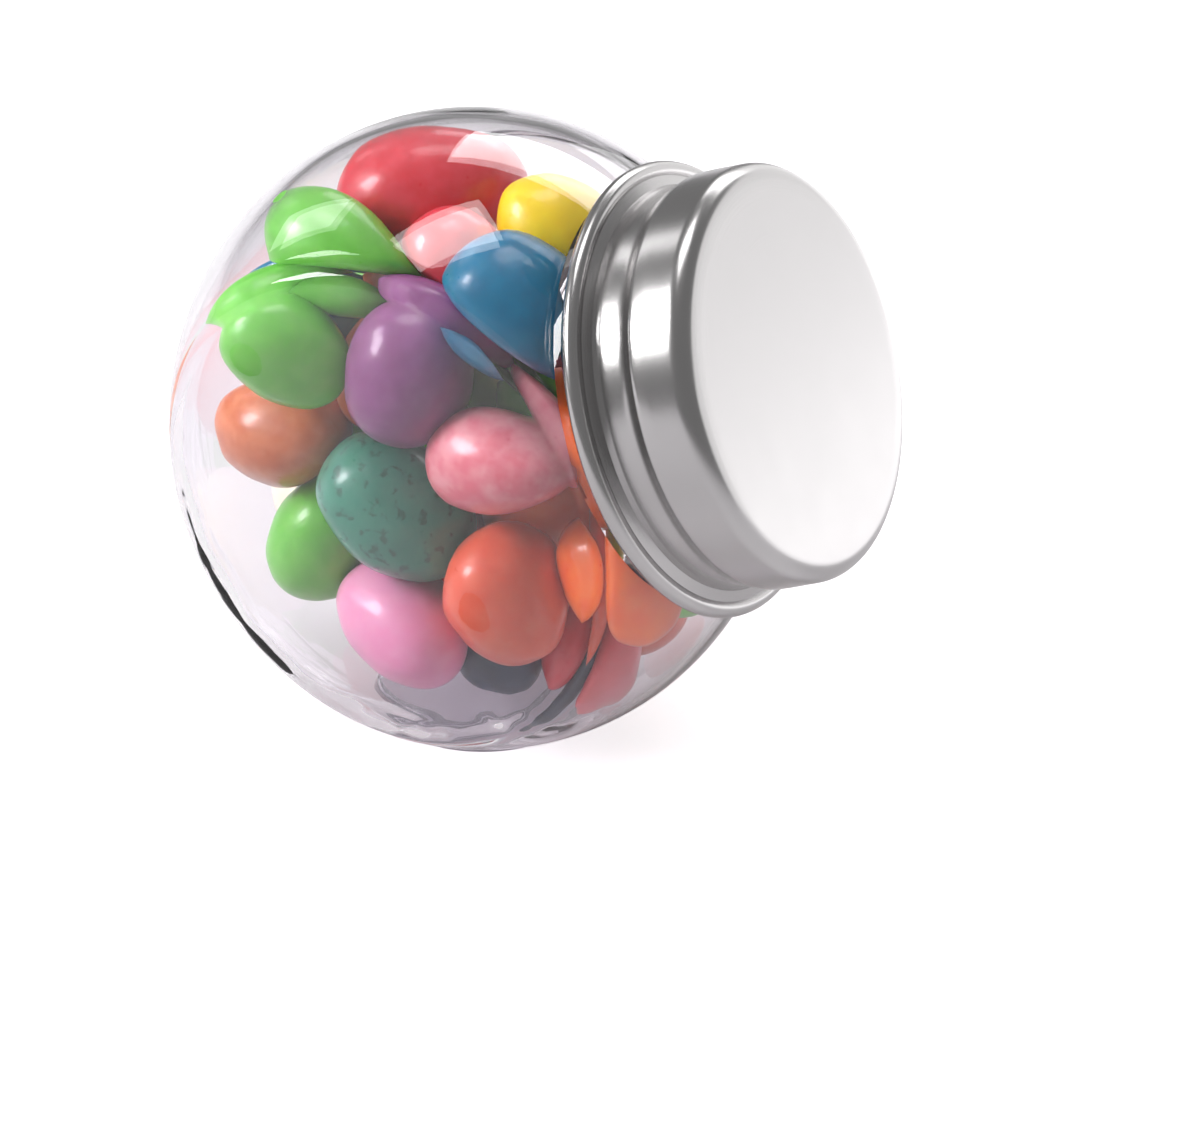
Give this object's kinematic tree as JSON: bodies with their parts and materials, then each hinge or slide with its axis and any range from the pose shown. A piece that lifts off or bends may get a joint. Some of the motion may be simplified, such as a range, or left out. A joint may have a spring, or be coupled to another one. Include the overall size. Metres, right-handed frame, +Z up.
{
  "type": "candy jar with jelly beans",
  "caption": "Small clear glass globe jar, pressed flat front and back, with a tilted round neck, a spun steel lid and a heap of jelly beans inside.",
  "frame": {"origin": "middle of the round foot's face, on the table, straight below the globe's centre", "axes": "+X to the side that the neck and the lid point to, -Y out of the front flat of the globe, +Z up"},
  "size_m": [0.0677, 0.0416, 0.0594],
  "materials": {
    "clear_glass": "clear, polished",
    "satin_steel": "satin, spun",
    "bean_sugar": "waxed sugar shell in many colours"
  },
  "bodies": {
    "root": {"glass_jar": "clear_glass", "lid": "satin_steel", "bean_heap": "bean_sugar"}
  },
  "joints": []
}
